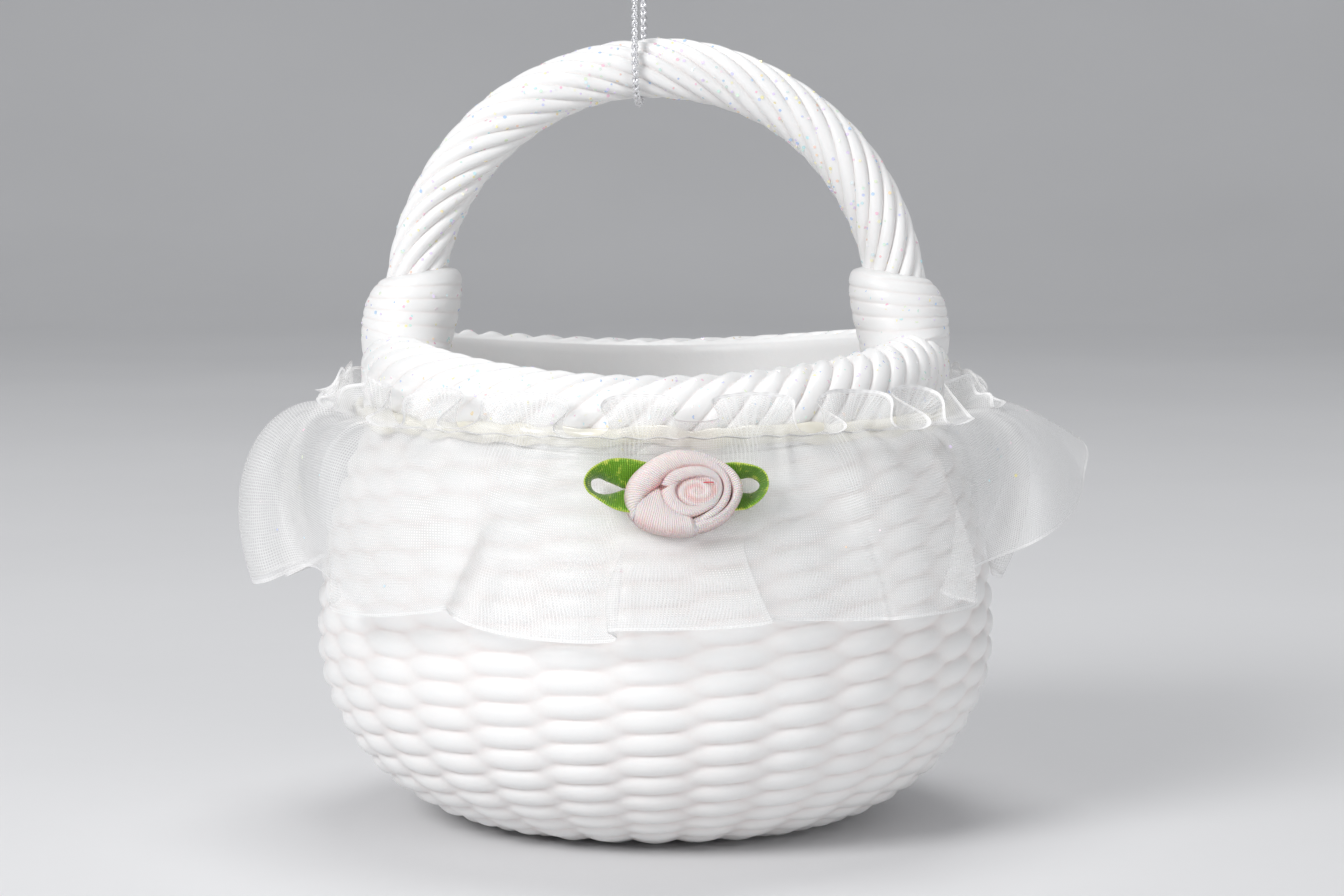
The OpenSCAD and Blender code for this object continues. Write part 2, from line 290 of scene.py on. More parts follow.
def organza():
    """Sheer plain weave: fine threads both ways, a firm edge, and gaps that show through."""
    n = Nodes("organza", IOR=1.45, Sheen_Weight=0.3, Sheen_Roughness=0.4,
              Roughness=0.35, Specular_IOR_Level=0.6)
    along, across = n.uv()
    drift = n.noise(260.0, 2.0)
    slip = n.math("MULTIPLY", drift, 0.00035)
    weft = n.threads(n.math("ADD", along, slip), WEAVE, 1.6)
    warp = n.threads(n.math("ADD", across, slip), WEAVE * 1.1, 1.6)
    cloth = n.math("MAXIMUM", weft, warp)
    edge = n.mark()
    solid = n.math("MAXIMUM", n.math("MULTIPLY", cloth, 0.3), n.math("MULTIPLY", edge, 0.9))
    patch = n.map(n.noise(120.0, 3.0), 0.3, 0.7, 0.0, 0.1)
    n.link(n.math("ADD", n.math("ADD", solid, patch), 0.1, clamp=True), "Alpha")
    n.link(n.ramp(cloth, [(0.0, (0.86, 0.85, 0.85)), (0.6, (0.95, 0.945, 0.94)),
                          (1.0, (0.99, 0.99, 0.99))]), "Base Color")
    n.link(n.bump(cloth, 0.00006, 0.7), "Normal")
    return n.material


def satin(name, shades, rib, glint, glow, speck_glint_strength):
    """Narrow satin ribbon: a fine rib across it, a long soft sheen, painted shade in its folds and
    painted glints along its ribs.
    """
    n = Nodes(name, IOR=1.5, Sheen_Weight=0.25, Sheen_Roughness=0.3, Anisotropic=0.4,
              Subsurface_Weight=glow, Subsurface_Scale=0.0012)
    along, across = n.uv()
    ribs = n.threads(n.math("ADD", along, n.math("MULTIPLY", n.noise(400.0, 2.0), 0.0002)), rib, 0.8)
    yarn = n.threads(across, rib * 0.8, 0.8)
    fold_shade = n.mark()
    # Painted shade: the fold value darkens the colour; the noise adds random tone.
    tone = n.math("ADD", n.math("MULTIPLY", fold_shade, 0.75),
                  n.map(n.noise(500.0, 3.0), 0.3, 0.7, -0.1, 0.12), clamp=True)
    # Painted glints: the ribs and small noise specks lighten the colour towards the ramp's lightest
    # shade.
    painted_speck_glint = n.map(n.noise(1400.0, 4.0, 0.6), 0.5, 0.68, 0.0, speck_glint_strength)
    tone = n.math("SUBTRACT", tone, n.math("MULTIPLY", ribs, glint), clamp=True)
    tone = n.math("SUBTRACT", tone, n.math("MULTIPLY", painted_speck_glint, ribs), clamp=True)
    n.link(n.ramp(tone, shades), "Base Color")
    n.link(n.map(ribs, 0.0, 1.0, 0.5, 0.3), "Roughness")
    weave = n.math("ADD", ribs, n.math("MULTIPLY", yarn, 0.4))
    n.link(n.bump(weave, 0.0001, 1.0), "Normal")
    return n.material


def hot_glue():
    n = Nodes("hot_glue", IOR=1.49, Coat_Weight=0.3, Coat_Roughness=0.1)
    cloud = n.noise(350.0, 3.0)
    n.link(n.ramp(cloud, [(0.3, (0.9, 0.86, 0.73)), (0.7, (0.94, 0.925, 0.87))]), "Base Color")
    n.link(n.map(cloud, 0.3, 0.7, 0.12, 0.3), "Roughness")
    n.link(n.bump(n.noise(500.0, 2.0), 0.0001, 0.5), "Normal")
    return n.material


def thread(name, colour, shade):
    n = Nodes(name, Sheen_Weight=0.4, Specular_IOR_Level=0.3)
    along, around = n.uv()
    ply = n.threads(n.math("ADD", along, n.math("MULTIPLY", around, 1.5)), 0.00025, 0.8)
    fuzz = n.noise(3000.0, 3.0)
    # Painted shade: the colour falls to the darker shade colour between the plies of the twist; the
    # fuzz noise adds random tone.
    n.link(n.ramp(n.math("MULTIPLY", ply, fuzz), [(0.05, shade), (0.5, colour)]), "Base Color")
    n.link(n.map(fuzz, 0.3, 0.7, 0.5, 0.8), "Roughness")
    n.link(n.bump(ply, 0.00004, 0.8), "Normal")
    return n.material


def metallic_yarn():
    n = Nodes("silver_cord", Metallic=0.8, Anisotropic=0.3)
    along, around = n.uv()
    film = n.threads(n.math("ADD", along, around), 0.00035, 0.7)
    dull = n.noise(2500.0, 3.0)
    # Painted shade: the metal is darker between the wraps of the film; the dull noise adds random
    # patches.
    n.link(n.ramp(n.math("MULTIPLY", film, n.map(dull, 0.3, 0.7, 0.6, 1.0)),
                  [(0.1, (0.6, 0.6, 0.62)), (0.7, (0.95, 0.95, 0.97))]), "Base Color")
    n.link(n.map(dull, 0.3, 0.7, 0.2, 0.4), "Roughness")
    n.link(n.bump(film, 0.00002, 0.5), "Normal")
    return n.material


def glitter_foil():
    """Iridescent film: each flake has its own tint."""
    n = Nodes("glitter", Metallic=0.0, IOR=1.6, Coat_Weight=0.6, Coat_Roughness=0.08)
    tint = n.mark()
    colours = [(1.0, 1.0, 1.0), (1.0, 0.93, 0.45), (1.0, 0.6, 0.76), (1.0, 0.97, 0.98),
               (0.6, 0.92, 0.98), (0.94, 0.99, 0.7), (0.5, 0.7, 1.0), (0.88, 0.77, 1.0)]
    stops = [(i / len(colours), c) for i, c in enumerate(colours)]
    ramp = n.ramp(n.math("ADD", tint, n.map(n.noise(4000.0), 0.3, 0.7, -0.02, 0.02)), stops)
    n.link(ramp, "Base Color")
    n.link(n.map(n.noise(5000.0), 0.3, 0.7, 0.1, 0.3), "Roughness")
    return n.material


# ---- Camera ----
CAMERA_BACK, CAMERA_UP, CAMERA_LENS = 0.5, math.radians(5.64), 105.9
AIM = Vector((0.0021, 0, 0.04665))
camera = bpy.data.objects.new("camera", bpy.data.cameras.new("camera"))
camera.data.sensor_width, camera.data.lens = 36, CAMERA_LENS
camera.data.clip_start, camera.data.clip_end = 0.01, 20
camera.location = AIM + CAMERA_BACK * Vector((0, -math.cos(CAMERA_UP), math.sin(CAMERA_UP)))
camera.rotation_euler = (AIM - camera.location).to_track_quat("-Z", "Y").to_euler()
bpy.context.scene.collection.objects.link(camera)
bpy.context.scene.camera = camera

# ---- Hanging cord ----
PLAIT_HALF, PLAIT_LEAD, PLAIT_R, PLAIT_WEAVE, STRAND_R = 2, 2.0, 0.23, 0.07, 0.19


def plait(skin, line):
    """Strands that turn both ways and pass over and under one another."""
    _, n, b = carried_frame(line)
    run = np.r_[0, np.cumsum(np.linalg.norm(np.diff(line, axis=0), axis=1))]
    lift = PLAIT_WEAVE * np.cos(PLAIT_HALF * TAU * run / PLAIT_LEAD)
    for hand in (1, -1):
        for k in range(PLAIT_HALF):
            a = hand * TAU * run / PLAIT_LEAD + k * TAU / PLAIT_HALF
            r = PLAIT_R + hand * lift
            strand = line + r[:, None] * (n * np.cos(a)[:, None] + b * np.sin(a)[:, None])
            skin.tube(strand, STRAND_R, 6)


silver = metallic_yarn()
cord_line = spline(CORD_ROUTE, 0.11)
skin = Skin()
plait(skin, cord_line)
cord = skin.piece("hanger_plait", silver, ["hanger_cord"], HANGER)

# The knot: both ends run up through two wraps and come out as short splayed tails.
WRAP_R, WRAP_RISE, WRAP_TURNS = 1.05, 0.8, 2.3
skin = Skin()
for side in (-1, 1):
    run_up = np.array([[0.5 * side, 0.6 * side, -1.2], [0.42 * side, 0.3 * side, -0.4],
                       [0.4 * side, 0.05 * side, 0.6], [0.6 * side, 0, 1.7],
                       [1.3 * side, 0.1 * side, 3.2], [2.1 * side, 0.25 * side, 4.6],
                       [2.7 * side, 0.2 * side, 5.9]])
    plait(skin, spline(KNOT + run_up, 0.11))
turn = np.linspace(0, WRAP_TURNS * TAU, 90)
sunk = 0.55 * (smoothstep(turn, 0, 1.0) * (1 - smoothstep(turn, turn[-1] - 1.0, turn[-1])) - 1)
wrap = np.column_stack([(WRAP_R + sunk) * np.cos(turn), (WRAP_R + sunk) * np.sin(turn),
                        WRAP_RISE * (turn / TAU - WRAP_TURNS / 2) + 0.35 * np.cos(turn - 0.5)])
plait(skin, resample(KNOT + wrap, 0.11))
knot = skin.piece("hanger_tied_knot", silver, ["hanger_knot"], HANGER)

# ---- Bowl ----
COLUMNS, STRAND_PITCH, STAKE_LIFT, STRAND_LIFT = 28, 1.72, 0.48, 1.2
STRAND_HALF = 1.08 * STRAND_PITCH
STRAND_LEAN, STAKE_SHIFT = 0.15, math.radians(4.9)
RELIEF_TOP = 0.35
COLUMN_STEPS, STRAND_STEPS = 9, 7
RELIEF_BLEND = 20.0


def shoulder_r(z):
    return BELLY_R - (BELLY_R - NECK_R) * np.clip((z - BELLY_Z) / (NECK_Z - BELLY_Z), 0, 1) ** 2


def saddle_drop(y):
    return np.sqrt(SADDLE_R ** 2 - np.minimum(np.abs(y), SADDLE_R * 0.9) ** 2) - SADDLE_R


def wicker(u, s):
    """Height of the weave, 0 at its crests, at column u and distance s up the wall. Each
    strand goes over one stake and under the next, and its neighbours do the opposite."""
    nearest = np.floor(s / STRAND_PITCH)
    layers = []
    for step in range(-3, 5):
        k = nearest + step
        turn = math.pi * (u + k)
        off = (s - (k + 0.5) * STRAND_PITCH - STRAND_LEAN * np.sin(turn)) / STRAND_HALF
        dome = np.sqrt(np.clip(1 - off ** 2, 0, 1)) - 3 * np.clip(np.abs(off) - 1, 0, 9)
        layers.append(STAKE_LIFT * np.cos(turn) + STRAND_LIFT * dome)
    layers = np.stack(layers)
    blend = np.log(np.exp(RELIEF_BLEND * layers).sum(0)) / RELIEF_BLEND
    return blend - STAKE_LIFT - STRAND_LIFT


def wall_profile(inset, rise, start_r):
    a = np.linspace(0, math.pi / 2, 80)
    lower = np.column_stack([FOOT_R + (BELLY_R - inset - FOOT_R) * np.sin(a),
                             BELLY_Z - (BELLY_Z - rise) * np.cos(a)])
    z = np.linspace(BELLY_Z, NECK_Z, 80)[1:]
    upper = np.column_stack([shoulder_r(z) - inset, z])
    return np.vstack([[[start_r, rise]], lower, upper])


def revolve(profile, theta):
    return np.stack([profile[:, :1] * np.cos(theta), profile[:, :1] * np.sin(theta),
                     np.broadcast_to(profile[:, 1:], (len(profile), len(theta)))], -1)


white = moulded_plastic("white_plastic", 1800.0)
theta = np.arange(COLUMNS * COLUMN_STEPS) * TAU / (COLUMNS * COLUMN_STEPS)
outer = resample(wall_profile(0, 0, 1.0), STRAND_PITCH / STRAND_STEPS)
slope = unit(np.gradient(outer, axis=0))
face = np.column_stack([slope[:, 1], -slope[:, 0]])
climb = np.r_[0, np.cumsum(np.linalg.norm(np.diff(outer, axis=0), axis=1))]
stakes = (theta + STAKE_SHIFT * np.cos(theta) ** 3) * COLUMNS / TAU
dip = saddle_drop(NECK_R * np.sin(theta))[None] * smoothstep(outer[:, 1:], 1.0, 46.0)
weave = wicker(stakes[None], climb[:, None] - dip)
weave *= smoothstep(outer[:, :1], 1.5, 9.0) * 0.999 + 0.001
proud = RELIEF_TOP * smoothstep(climb, 17.0, 27.0) * (1 - smoothstep(outer[:, 1], 46.5, 48.9))
shift = weave + proud[:, None]
wall_r = outer[:, :1] + shift * face[:, :1]
wall_z = outer[:, 1:] + shift * face[:, 1:]
wall = np.stack([wall_r * np.cos(theta), wall_r * np.sin(theta), wall_z], -1)
# Painted shade: the weave's groove depth, which makes the plastic darker and warmer in the grooves.
groove = np.clip(-weave / 0.8, 0, 1) ** 1.8
collar_z = SEAT_Z + saddle_drop(NECK_R * np.sin(theta)) + 0.3
collar = []
for r, share in ((NECK_R, 0.35), (NECK_R, 0.7), (NECK_R, 1.0),
                 (NECK_R - WALL, 1.0), (NECK_R - WALL, 0.5)):
    collar.append(np.stack([r * np.cos(theta), r * np.sin(theta),
                            NECK_Z + (collar_z - NECK_Z) * share], -1))
inside = resample(wall_profile(WALL, FLOOR_T, 1.0), count=44)[::-1]
inner = revolve(inside, theta)
bowl = np.concatenate([wall, np.stack(collar), inner])
marks = np.zeros(bowl.shape[:2])
marks[:len(groove)] = groove
skin = Skin()
skin.grid(bowl, mark=marks, wrap_cols=True, poles=((0, 0, 0), (0, 0, FLOOR_T)))
skin.piece("wicker_bowl", white, ["bowl"])

# ---- Rope rim ----
RIM_STRANDS, RIM_SLANT, ROPE_DEPTH = 52, 4.0, 0.66
RIM_STEPS = 15


def rope_bump(f):
    """Round strand: 1 on its crest and about 0.2 in the groove, where f is -0.5 to 0.5."""
    return np.sqrt(1 - 0.96 * (2 * np.abs(f)) ** 2.2)


coated = moulded_plastic("glitter_plastic", 1500.0)
a = np.linspace(0, math.pi / 2, 40)
crown = np.column_stack([NECK_R - CROWN * (1 - np.cos(a)), RIM_H / 2 * (1 + np.sin(a))])
section = np.vstack([[[NECK_R - 0.4, 0], [NECK_R, 0.8]], crown,
                     [[RIM_IN + 0.9, RIM_H - 0.2], [RIM_IN, RIM_H - 1]]])
section = resample(section, count=52)
lean = unit(np.gradient(section, axis=0))
out = np.column_stack([lean[:, 1], -lean[:, 0]])
reach = np.r_[0, np.cumsum(np.linalg.norm(np.diff(section, axis=0), axis=1))]
smooth_part = np.vstack([np.column_stack([np.full(5, RIM_IN), np.linspace(RIM_H - 1, 0, 7)[1:6]]),
                         np.column_stack([np.linspace(RIM_IN, NECK_R - 0.4, 7)[:6], np.zeros(6)])])
rows = np.vstack([section, smooth_part])
strand = np.arange(RIM_STRANDS * RIM_STEPS) / RIM_STEPS
f = strand - np.floor(strand) - 0.5
fade = smoothstep(reach, 0.2, 1.6) * (1 - smoothstep(reach, 11.8, 13.4))
top_share = smoothstep(reach, 8.0, 11.0)[:, None]
scallop = 1.5 * (1 - (2 * f[None]) ** 2) - 0.25
bump = np.vstack([fade[:, None] * ROPE_DEPTH * (rope_bump(f)[None] * (1 - top_share)
                                                + scallop * top_share - 0.62),
                  np.zeros((len(smooth_part), len(f)))])
twist = np.r_[reach / RIM_SLANT, np.linspace(reach[-1] / RIM_SLANT, 0, len(smooth_part) + 2)[1:-1]]
normals = np.vstack([out, np.zeros_like(smooth_part)])
theta = (strand[None] + twist[:, None]) * TAU / RIM_STRANDS
theta = theta + 0.18 * np.sin(theta + math.radians(220))
rim_r = rows[:, :1] + bump * normals[:, :1]
rim_z = rows[:, 1:] + bump * normals[:, 1:]
rim = np.stack([rim_r * np.cos(theta), rim_r * np.sin(theta),
                SEAT_Z + rim_z + saddle_drop(rim_r * np.sin(theta))], -1)
# Painted shade: darker, warmer plastic in the grooves between the rope's strands.
rim_groove_shade = np.vstack([fade[:, None] * (1 - rope_bump(f))[None] ** 2,
                      np.zeros((len(smooth_part), len(f)))])
skin = Skin()
skin.grid(rim, mark=rim_groove_shade, wrap_rows=True, wrap_cols=True)
skin.piece("rope_rim", coated, ["rim_rope"])

# ---- Rope handle ----
HANDLE_R, HANDLE_DEPTH, HANDLE_STRANDS, HANDLE_LEAD = 3.42, 0.42, 10, 37.0
HANDLE_STEPS, HANDLE_STEP, LEG_SUNK = 12, 0.4, 2.0
CORD_GROOVE, CORD_GROOVE_W = 0.2, 1.3
a = np.linspace(LEG_LEAN, math.pi - LEG_LEAN, 300)
arc = np.column_stack([ARCH_R * np.cos(a), ARCH_Z + ARCH_R * np.sin(a)])
foot = np.array([LEG_X - LEG_SUNK * math.sin(LEG_LEAN), LEG_Z + LEG_SUNK * math.cos(LEG_LEAN)])
line = resample(np.vstack([foot[None], arc, [[-foot[0], foot[1]]]]), HANDLE_STEP)
run = np.r_[0, np.cumsum(np.linalg.norm(np.diff(line, axis=0), axis=1))]
along = unit(np.gradient(line, axis=0))
outward = np.column_stack([along[:, 1], -along[:, 0]])
strand = np.arange(HANDLE_STRANDS * HANDLE_STEPS) / HANDLE_STEPS
f = strand - np.floor(strand) - 0.5
psi = strand[None] * TAU / HANDLE_STRANDS - run[:, None] * TAU / HANDLE_LEAD
wander = 0.06 * np.sin(run / 9.0) + 0.05 * np.sin(run / 3.7 + 1.0)
# The cord turns in a shallow groove round the tube, which keeps the two apart in every pose.
groove = CORD_GROOVE * np.exp(-((line[:, 0] - KNOT[0]) / CORD_GROOVE_W) ** 2)
wander = wander - groove * (line[:, 1] > ARCH_Z)
soft_bump = np.sqrt(1 - 0.93 * (2 * f) ** 2)[None]
ridge = HANDLE_DEPTH * (1 + 0.25 * np.sin(run / 6.1)[:, None]) * (soft_bump - 0.66)
radius = HANDLE_R + wander[:, None] + ridge * 2.1
handle = np.stack([line[:, :1] + radius * np.cos(psi) * outward[:, :1], -radius * np.sin(psi),
                   line[:, 1:] + radius * np.cos(psi) * outward[:, 1:]], -1)
# Painted shade: darker, warmer plastic in the grooves between the rope's strands.
handle_groove_shade = np.broadcast_to(((1 - rope_bump(f)) ** 2)[None], psi.shape)
skin = Skin()
skin.grid(handle, mark=handle_groove_shade, wrap_cols=True, caps=True)
skin.piece("rope_handle", coated, ["handle"])

# ---- Bindings ----
# Radius at each distance up the leg, on the side away from the arch and on the side towards it.
BIND_TURNS, BIND_DEPTH, BIND_TILT = 8, 0.2, 1.3
AWAY = np.array([(-0.5, 4.3), (0, 4.6), (1.2, 5.15), (2.7, 5.5), (5.5, 5.75), (8, 5.72), (9.6, 5.4),
                 (10.8, 4.85), (11.6, 4.3), (12.2, 3.5)])
TOWARDS = np.array([(-0.5, 5.6), (4, 5.8), (6.5, 6.05), (9, 6.0), (10.8, 5.7), (11.7, 5.35),
                    (12.05, 4.9), (12.2, 3.6)])
bindings = []
for side, name in ((-1, "left"), (1, "right")):
    s = np.linspace(-0.5, 12.2, 120)
    around = np.arange(80) * TAU / 80
    outward_share = ((1 + np.cos(around)) / 2)[None]
    body_r = (np.interp(s, *AWAY.T)[:, None] * outward_share
              + np.interp(s, *TOWARDS.T)[:, None] * (1 - outward_share))
    # The foot runs out along the rim to the front and to the back.
    body_r += (2.9 * np.exp(-np.clip(s - 3.7, 0, None) / 1.15))[:, None] \
        * np.sin(around)[None] ** 2 * (1 - outward_share ** 2)
    tilt = -BIND_TILT * np.cos(around) * smoothstep(s, 2.0, 10.0)[:, None]
    phase = s[:, None] / (LEG_LEN / BIND_TURNS) + around[None] / TAU * side
    f = phase - np.floor(phase) - 0.5
    shown = (smoothstep(s, 1.5, 4.5) * (1 - smoothstep(s, 11.2, 12.0)))[:, None]
    radius = body_r + BIND_DEPTH * (np.sqrt(1 - 0.95 * (2 * f) ** 2) - 0.7) * shown
    # around = 0 faces away from the arch, and the wraps climb towards the inside of the leg
    x = radius * np.cos(around) * side
    y = radius * np.sin(around)
    climb_leg = s[:, None] + tilt
    cl, sl = math.cos(LEG_LEAN), math.sin(LEG_LEAN)
    points = np.stack([side * LEG_X + x * cl - side * climb_leg * sl, np.broadcast_to(y, x.shape),
                       LEG_Z + side * x * sl + climb_leg * cl], -1)
    # Painted shade: darker, warmer plastic in the grooves between the wraps.
    mark = (2 * np.abs(f)) ** 4 * shown * 0.7
    skin = Skin()
    skin.grid(points, mark=mark, wrap_cols=True, caps=True)
    skin.piece("wound_binding_" + name, coated, ["binding_" + name])
    bindings.append(points)

# ---- Glue and gathering thread ----
theta = np.arange(420) * TAU / 420
lump = 0.16 * periodic_noise(theta, (9, 60), 9, 3)
fat = 0.75 + lump + 0.25 * smoothstep(periodic_noise(theta, (4, 15), 4, 8), 0.5, 1.2)
sway = 0.35 * periodic_noise(theta, (5, 30), 6, 5)
around = np.arange(14) * TAU / 14
bead_r = NECK_R + 0.45 + fat[:, None] * 0.8 * np.cos(around)
bead = np.stack([bead_r * np.cos(theta)[:, None], bead_r * np.sin(theta)[:, None],
                 SEAM_Z + sway[:, None] + fat[:, None] * 1.5 * np.sin(around)], -1)
skin = Skin()
skin.grid(bead, wrap_rows=True, wrap_cols=True)
glue = hot_glue()
skin.piece("seam_glue", glue, ["glue_bead"])

# ---- Frill ----
RIBBON_W, RIBBON_LEN, HEADER_W, WEAVE = 32.0, 380.0, 6.0, 0.0003
START, TURN = math.radians(8), math.radians(-371)
RUFFLES, PLEATS = 20, 62
HEM_R = 47.0
FREE_REACH = 27.0
columns, steps = 1150, 44
q = np.linspace(0, 1, columns)
theta = START + TURN * q
w = np.concatenate([[0, 0.35], np.linspace(0.7, HEADER_W, 10),
                    np.linspace(HEADER_W, RIBBON_W - 0.7, steps - 12)[1:],
                    [RIBBON_W - 0.35, RIBBON_W]])


def line_by_width(header, skirt):
    """Distances (outwards, upwards) from the seam at each width w across the ribbon."""
    head = resample(bezier(header), count=400)[::-1]
    tail = resample(bezier(skirt), count=400)
    at = np.linspace(0, 1, 400)
    up = [np.interp(w[w <= HEADER_W] / HEADER_W, at, head[:, k]) for k in (0, 1)]
    down = [np.interp((w[w > HEADER_W] - HEADER_W) / (RIBBON_W - HEADER_W), at, tail[:, k])
            for k in (0, 1)]
    return np.column_stack([np.r_[up[0], down[0]], np.r_[up[1], down[1]]])


front_line = line_by_width([(0, 0), (0.1, 3.0), (1.9, 4.7)],
                           [(0, 0), (0.7, -6.5), (3.2, -12.5), (9.4, -21.5)])
side_line = line_by_width([(0, 0), (0.4, 3.2), (3.2, 5.0)],
                          [(0, 0), (8.5, 3.2), (15.2, -7.0), (8.4, -20.5)])
free_line = line_by_width([(0, 0), (0.4, 3.2), (3.2, 5.0)],
                          [(0, 0), (6.5, 2.8), (12.0, -1.2), (17.2, -4.2)])


def folds(count, seed, jitter, peaks=None):
    """Phase that grows by one turn at each fold, with folds of uneven width, and their sizes."""
    rng = np.random.default_rng(seed)
    places = (np.arange(count + 1) + np.r_[0, rng.uniform(-jitter, jitter, count - 1), 0]) / count
    if peaks is not None:
        places = (np.radians(peaks) - START) / TURN
    fine = np.linspace(0, 1, 4001)
    phase = np.interp(fine, places, np.arange(count + 1))
    kernel = np.hanning(int(4001 / count * 0.6))
    pad = len(kernel)
    extended = np.r_[phase[-pad - 1:-1] - count, phase, phase[1:pad + 1] + count]
    phase = np.convolve(extended, kernel / kernel.sum(), "same")[pad:-pad]
    size = np.interp(fine, places, np.r_[rng.uniform(0.6, 1.15, count), 0.8])
    size = np.convolve(np.r_[size[-pad:], size, size[:pad]], kernel / kernel.sum(), "same")[pad:-pad]
    return np.interp(q, fine, phase) * TAU, np.interp(q, fine, size)


# Where the skirt's folds stand out, in degrees round the bowl from the free end.
PEAKS = [8, -32, -64, -104, -161, -188, -212, -236, -260, -284, -309, -335, -363]
side_share = np.abs(np.cos(theta)) ** 1.6
d = np.clip(w - HEADER_W, 0, None)[:, None]
e = np.clip(HEADER_W - w, 0, None)[:, None]
free_share = np.exp(-(q * RIBBON_LEN / FREE_REACH) ** 2)
mix = side_share * (1 - free_share)
seam_row = int(np.argmin(np.abs(w - HEADER_W)))
mean = (side_line[:, None] * mix[None, :, None] + front_line[:, None]
        * (1 - side_share)[None, :, None] * (1 - free_share)[None, :, None]
        + free_line[:, None] * free_share[None, :, None])
run_dir = unit(np.gradient(mean, axis=0))
up_out = np.stack([-run_dir[..., 1], run_dir[..., 0]], -1) * -1

big, big_size = folds(len(PEAKS) - 1, 11, 0.3, PEAKS)
mid, mid_size = folds(RUFFLES, 12, 0.25)
fine_wave, fine_size = folds(PLEATS, 13, 0.3)
grow = (d / 26.0) ** 1.1
near_rose = np.exp(-((theta - math.radians(-85.4)) / math.radians(12)) ** 2)[None]
calm = 1 - 0.75 * near_rose * np.exp(-((d - 7) / 7.0) ** 2)
lively = 1 - 0.6 * np.exp(-((theta - math.radians(-136)) / math.radians(15)) ** 2)[None]
lively = lively * (1 - 0.8 * free_share)[None]
bent = big[None] + 0.32 * np.sin(d / 6.5 + 3 * theta[None]) * smoothstep(d, 0.0, 8.0)
swing = (2.8 + 1.5 * side_share)[None] * lively
lift = (swing * big_size[None] * grow * np.cos(bent)
        + 0.4 * mid_size[None] * (d / 6.0) * np.exp(1 - d / 6.0) * np.cos(mid)[None] * lively
        + 0.5 * fine_size[None] * np.exp(-d / 4.5) * np.exp(-e / 2.0)
        * np.cos(fine_wave)[None]) * calm
reach_out = np.clip(TAU / np.gradient(big, -theta * HEM_R), 8, 40) / (4 * math.pi)
slide = (-1.45 * reach_out[None] * smoothstep(d, 2.0, 22.0) * np.sin(2 * bent) * lively
         - (e / HEADER_W) * (2.2 * np.sin(2 * mid) - 1.3 * np.sin(mid))[None]) * calm
droop = 1.0 * grow * periodic_noise(theta, (3, 17), 7, 21)[None]
layer = (0.55 - 0.9 * smoothstep(q, 0.955, 0.985))[None]
ring_r = SEAM_R + mean[..., 0] + lift * up_out[..., 0] + layer
ring_z = SEAM_Z + mean[..., 1] + lift * up_out[..., 1] + droop
ring_r = ring_r - 2.2 * grow * np.exp(-((theta - math.radians(-27)) / math.radians(13)) ** 2)[None]
# The ribbon's other end hangs close to the bowl, under the free one.
ring_r = ring_r - 5.0 * grow * smoothstep(q, 0.915, 0.965)[None]
# The header's edge runs in loops: high against the rim, then low and well out.
loop = mid_size * (1 + np.cos(mid))
for row in np.flatnonzero(w < HEADER_W):
    share = (HEADER_W - w[row]) / HEADER_W
    ring_r[row] = ring_r[seam_row] + share ** 1.15 * (0.5 + 2.55 * loop)
    ring_z[row] = ring_z[seam_row] + share ** 0.9 * (5.3 - 2.2 * loop)
# The ribbon stays outside the rim and the bowl.
seat = SEAT_Z + saddle_drop(NECK_R * np.sin(theta))[None]
over = np.clip((ring_z - seat - RIM_H / 2) / (RIM_H / 2), 0, 1)
rim_face = NECK_R - CROWN * (1 - np.sqrt(1 - over ** 2)) + 0.45
bowl_face = shoulder_r(ring_z) + 0.6
nearest = np.where(ring_z > seat, rim_face, np.where(ring_z < NECK_Z, bowl_face, NECK_R + 0.5))
ring_r = nearest + 0.12 + np.logaddexp(0, (ring_r - nearest - 0.12) * 4) / 4
turned = theta[None] + slide / np.maximum(ring_r, 30)
cloth = np.stack([ring_r * np.cos(turned), ring_r * np.sin(turned), ring_z], -1)
selvedge = 0.75 * np.exp(-((RIBBON_W - w) / 0.5) ** 4) + np.exp(-(w / 0.6) ** 4)
steps_along = np.linalg.norm(np.diff(cloth[seam_row:], axis=1), axis=2).mean(axis=0)
along_ribbon = np.r_[0, np.cumsum(steps_along)]
flat_uv = np.stack(np.broadcast_arrays(along_ribbon[None], w[:, None]), -1) * MM
sheer = organza()
skin = Skin()
skin.grid(cloth, flat_uv, np.broadcast_to(selvedge[:, None], cloth.shape[:2]))
frill = skin.piece("organza_frill", sheer, ["frill"], closed=False)

# Loose threads at the cut end of the ribbon.
white_thread = thread("white_thread", (0.93, 0.93, 0.92), (0.7, 0.69, 0.68))
skin = Skin()
for row in range(3, len(w) - 1):
    tip = cloth[row, 0]
    along_cloth = unit(cloth[row, 0] - cloth[row, 3])
    for _ in range(2):
        length = random.uniform(0.3, 1.5)
        sway = random.normal(0, 0.22, 3)
        base = tip + (cloth[row + 1, 0] - tip) * random.uniform(0, 1)
        points = [base - along_cloth * 0.3, base + along_cloth * length * 0.5 + sway * length * 0.3,
                  base + along_cloth * length + sway * length]
        skin.tube(spline(points, count=6), 0.035, 4, (0, 0, 1))
fray = skin.piece("frill_fray", white_thread)

# Running thread that gathers the ribbon.
stitch = ring_r[seam_row] + 0.04 + 0.17 * np.cos(fine_wave)
path = np.column_stack([stitch * np.cos(theta), stitch * np.sin(theta),
                        SEAM_Z + 0.12 * np.sin(fine_wave)])[6:-40]
skin = Skin()
skin.tube(resample(path, 0.45), 0.1, 6, (0, 0, 1))
skin.piece("running_thread", white_thread, ["gather_thread"])

# ---- Rose ----
ROSE_BASE = 0.9


def on_rose(points):
    """From the rose's own frame, +X right, +Y up and +Z out, to the row frame."""
    p = np.asarray(points, float)
    x, y, z = p[..., 0], p[..., 1], p[..., 2]
    ct, st = math.cos(ROSE_TILT), math.sin(ROSE_TILT)
    y, z = y * ct - z * st - ROSE_BACK, y * st + z * ct + ROSE_Z
    cz, sz = math.cos(ROSE_TURN), math.sin(ROSE_TURN)
    return np.stack([x * cz - y * sz, x * sz + y * cz, z], -1)


